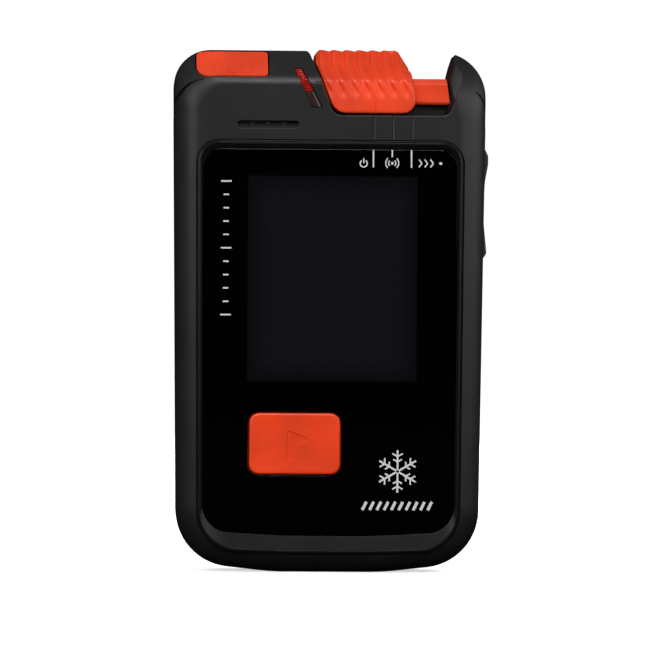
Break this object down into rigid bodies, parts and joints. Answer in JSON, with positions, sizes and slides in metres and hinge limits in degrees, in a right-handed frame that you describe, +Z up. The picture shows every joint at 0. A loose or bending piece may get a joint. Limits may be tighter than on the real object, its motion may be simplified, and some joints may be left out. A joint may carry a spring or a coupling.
{
  "type": "avalanche transceiver",
  "caption": "Pocket radio beacon in a rounded two-shell case with display window, sliding mode switch, lock button, front key, side keys and battery door.",
  "frame": {"origin": "middle of the case's flat base", "axes": "+Z up along the case towards the mode switch, -Y out of the display, +X to the right as seen from the front"},
  "size_m": [0.0689, 0.0246, 0.114],
  "materials": {
    "case_black": "fine satin texture",
    "gloss_black": "polished",
    "orange": "satin",
    "red_window": "translucent, ribbed",
    "smoked_window": "translucent, smoked",
    "rubber_black": "matt",
    "steel": "plain",
    "copper": "enamelled wire",
    "ferrite": "sintered",
    "board_green": "solder mask",
    "display_grey": "display glass",
    "cell_wrap": "printed wrap",
    "flex_amber": "film"
  },
  "bodies": {
    "case": {"front_housing": "case_black", "rear_housing": "case_black", "housing_gasket": "rubber_black", "front_bezel": "case_black", "display_lens": "gloss_black", "lens_gasket": "rubber_black", "lcd_panel": "display_grey", "lcd_frame": "case_black", "lcd_ribbon": "flex_amber", "flag_switch": "steel", "slider_rail": "orange", "lock_spring": "steel", "lock_seal": "rubber_black", "send_light_guide": "red_window", "lamp_window": "smoked_window", "lamp_board": "board_green", "send_lamp": "red_window", "speaker_mesh": "rubber_black", "speaker": "steel", "side_switch_up": "steel", "side_switch_down": "steel", "main_board": "board_green", "board_screw_1": "steel", "board_screw_2": "steel", "radio_shield": "steel", "processor": "ferrite", "hall_sensor": "ferrite", "long_antenna_rod": "ferrite", "long_antenna_coil": "copper", "cross_antenna_rod": "ferrite", "cross_antenna_coil": "copper", "short_antenna_rod": "ferrite", "short_antenna_coil": "copper", "cell_1": "cell_wrap", "cell_2": "cell_wrap", "cell_3": "cell_wrap", "contact_plate_1": "steel", "contact_plate_2": "steel", "contact_plate_3": "steel", "contact_spring_1": "steel", "contact_spring_2": "steel", "contact_spring_3": "steel", "door_hinge_pin": "steel", "door_seal": "rubber_black", "case_screw_1": "steel", "case_screw_2": "steel", "case_screw_3": "steel", "case_screw_4": "steel", "leash_pin": "steel"},
    "mode_switch": {"mode_slider": "orange", "slider_magnet": "steel", "detent_spring": "steel"},
    "lock": {"lock_button": "orange", "lock_clip": "steel"},
    "flag_key": {"flag_button": "orange"},
    "key_up": {"side_key_up": "rubber_black"},
    "key_down": {"side_key_down": "rubber_black"},
    "door": {"battery_door": "case_black"},
    "door_lock": {"battery_lock": "case_black", "lock_cam": "steel"}
  },
  "joints": [
    {"name": "mode_slide", "type": "slide", "parent": "case", "child": "mode_switch", "axis": [1, 0, 0], "range_m": [0, 0.0081], "deforming": ["detent_spring"]},
    {"name": "lock_press", "type": "slide", "parent": "case", "child": "lock", "axis": [0, 0.6915, -0.7224], "range_m": [0, 0.0012], "stiffness_N_per_m": 1200, "springref_m": -0.0004, "deforming": ["lock_spring"]},
    {"name": "flag_press", "type": "slide", "parent": "case", "child": "flag_key", "axis": [0, 1, 0], "range_m": [0, 0.0008], "stiffness_N_per_m": 1500, "springref_m": -0.0004},
    {"name": "key_up_press", "type": "slide", "parent": "case", "child": "key_up", "axis": [-1, 0, 0], "range_m": [0, 0.0008], "stiffness_N_per_m": 1500, "springref_m": -0.0004},
    {"name": "key_down_press", "type": "slide", "parent": "case", "child": "key_down", "axis": [-1, 0, 0], "range_m": [0, 0.0008], "stiffness_N_per_m": 1500, "springref_m": -0.0004},
    {"name": "door_swing", "type": "hinge", "parent": "case", "child": "door", "pos_m": [0, 0.0106, 0.0082], "axis": [-1, 0, 0], "range_deg": [0, 95]},
    {"name": "door_lock_turn", "type": "hinge", "parent": "door", "child": "door_lock", "pos_m": [0, 0.011, 0.0695], "axis": [0, -1, 0], "range_deg": [0, 90]}
  ]
}
